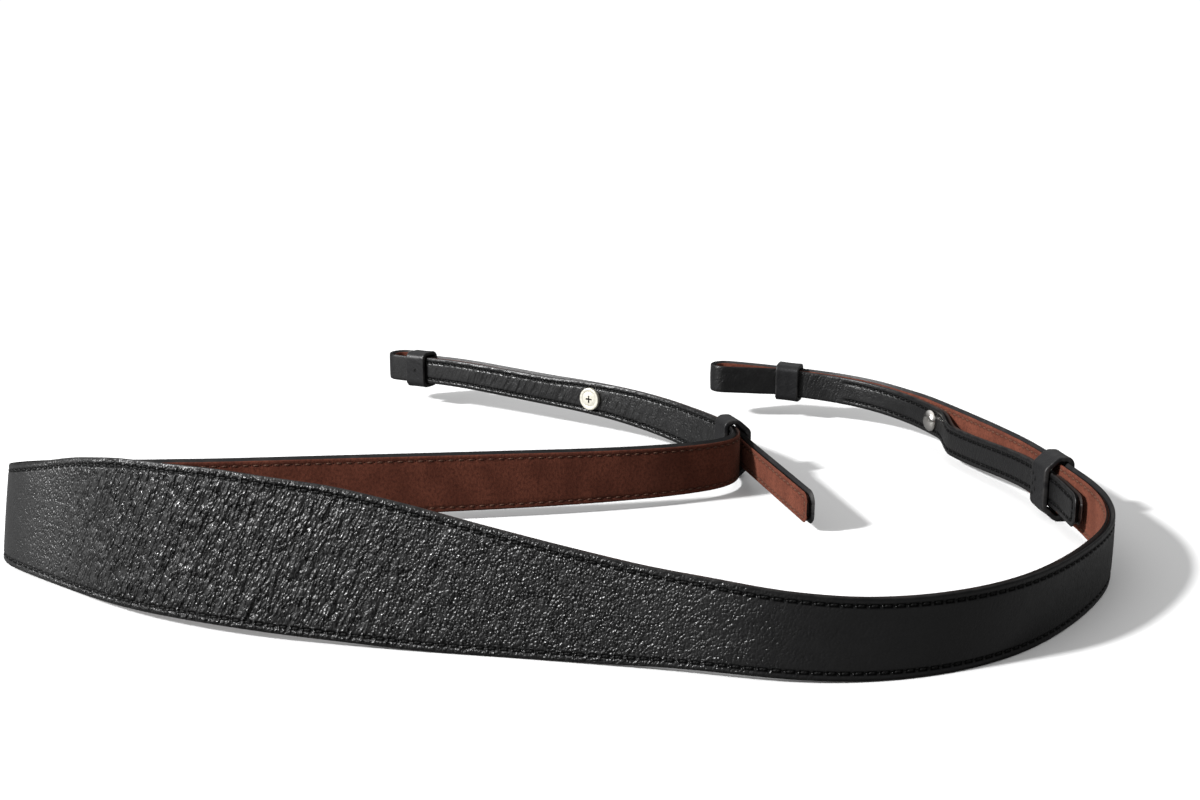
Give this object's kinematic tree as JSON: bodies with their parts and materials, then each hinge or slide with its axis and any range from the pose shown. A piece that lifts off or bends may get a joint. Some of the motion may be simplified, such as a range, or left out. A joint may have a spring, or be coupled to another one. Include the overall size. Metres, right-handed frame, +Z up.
{
  "type": "camera shoulder strap",
  "caption": "Leather camera shoulder strap with a wide pad, suede lining, folded ends held by studs, and sliding keepers, standing on its edge as an open loop.",
  "frame": {"origin": "under the middle of the strap's box, on the surface that its lower edge stands on", "axes": "+Z up, -Y towards the viewer who sees the outside of the pad, +X to that viewer's right"},
  "size_m": [0.2992, 0.2754, 0.0397],
  "materials": {
    "black_leather": "pebbled and slightly glossy",
    "brown_suede": "matt suede",
    "nickel": "polished"
  },
  "bodies": {
    "root": {"outer_leather": "black_leather", "lining": "brown_suede", "left_wide_keeper": "black_leather", "right_wide_keeper": "black_leather", "left_narrow_keeper": "black_leather", "right_narrow_keeper": "black_leather", "left_stud_screw": "nickel", "right_stud_screw": "nickel", "left_stud_post": "nickel", "right_stud_post": "nickel"}
  },
  "joints": []
}
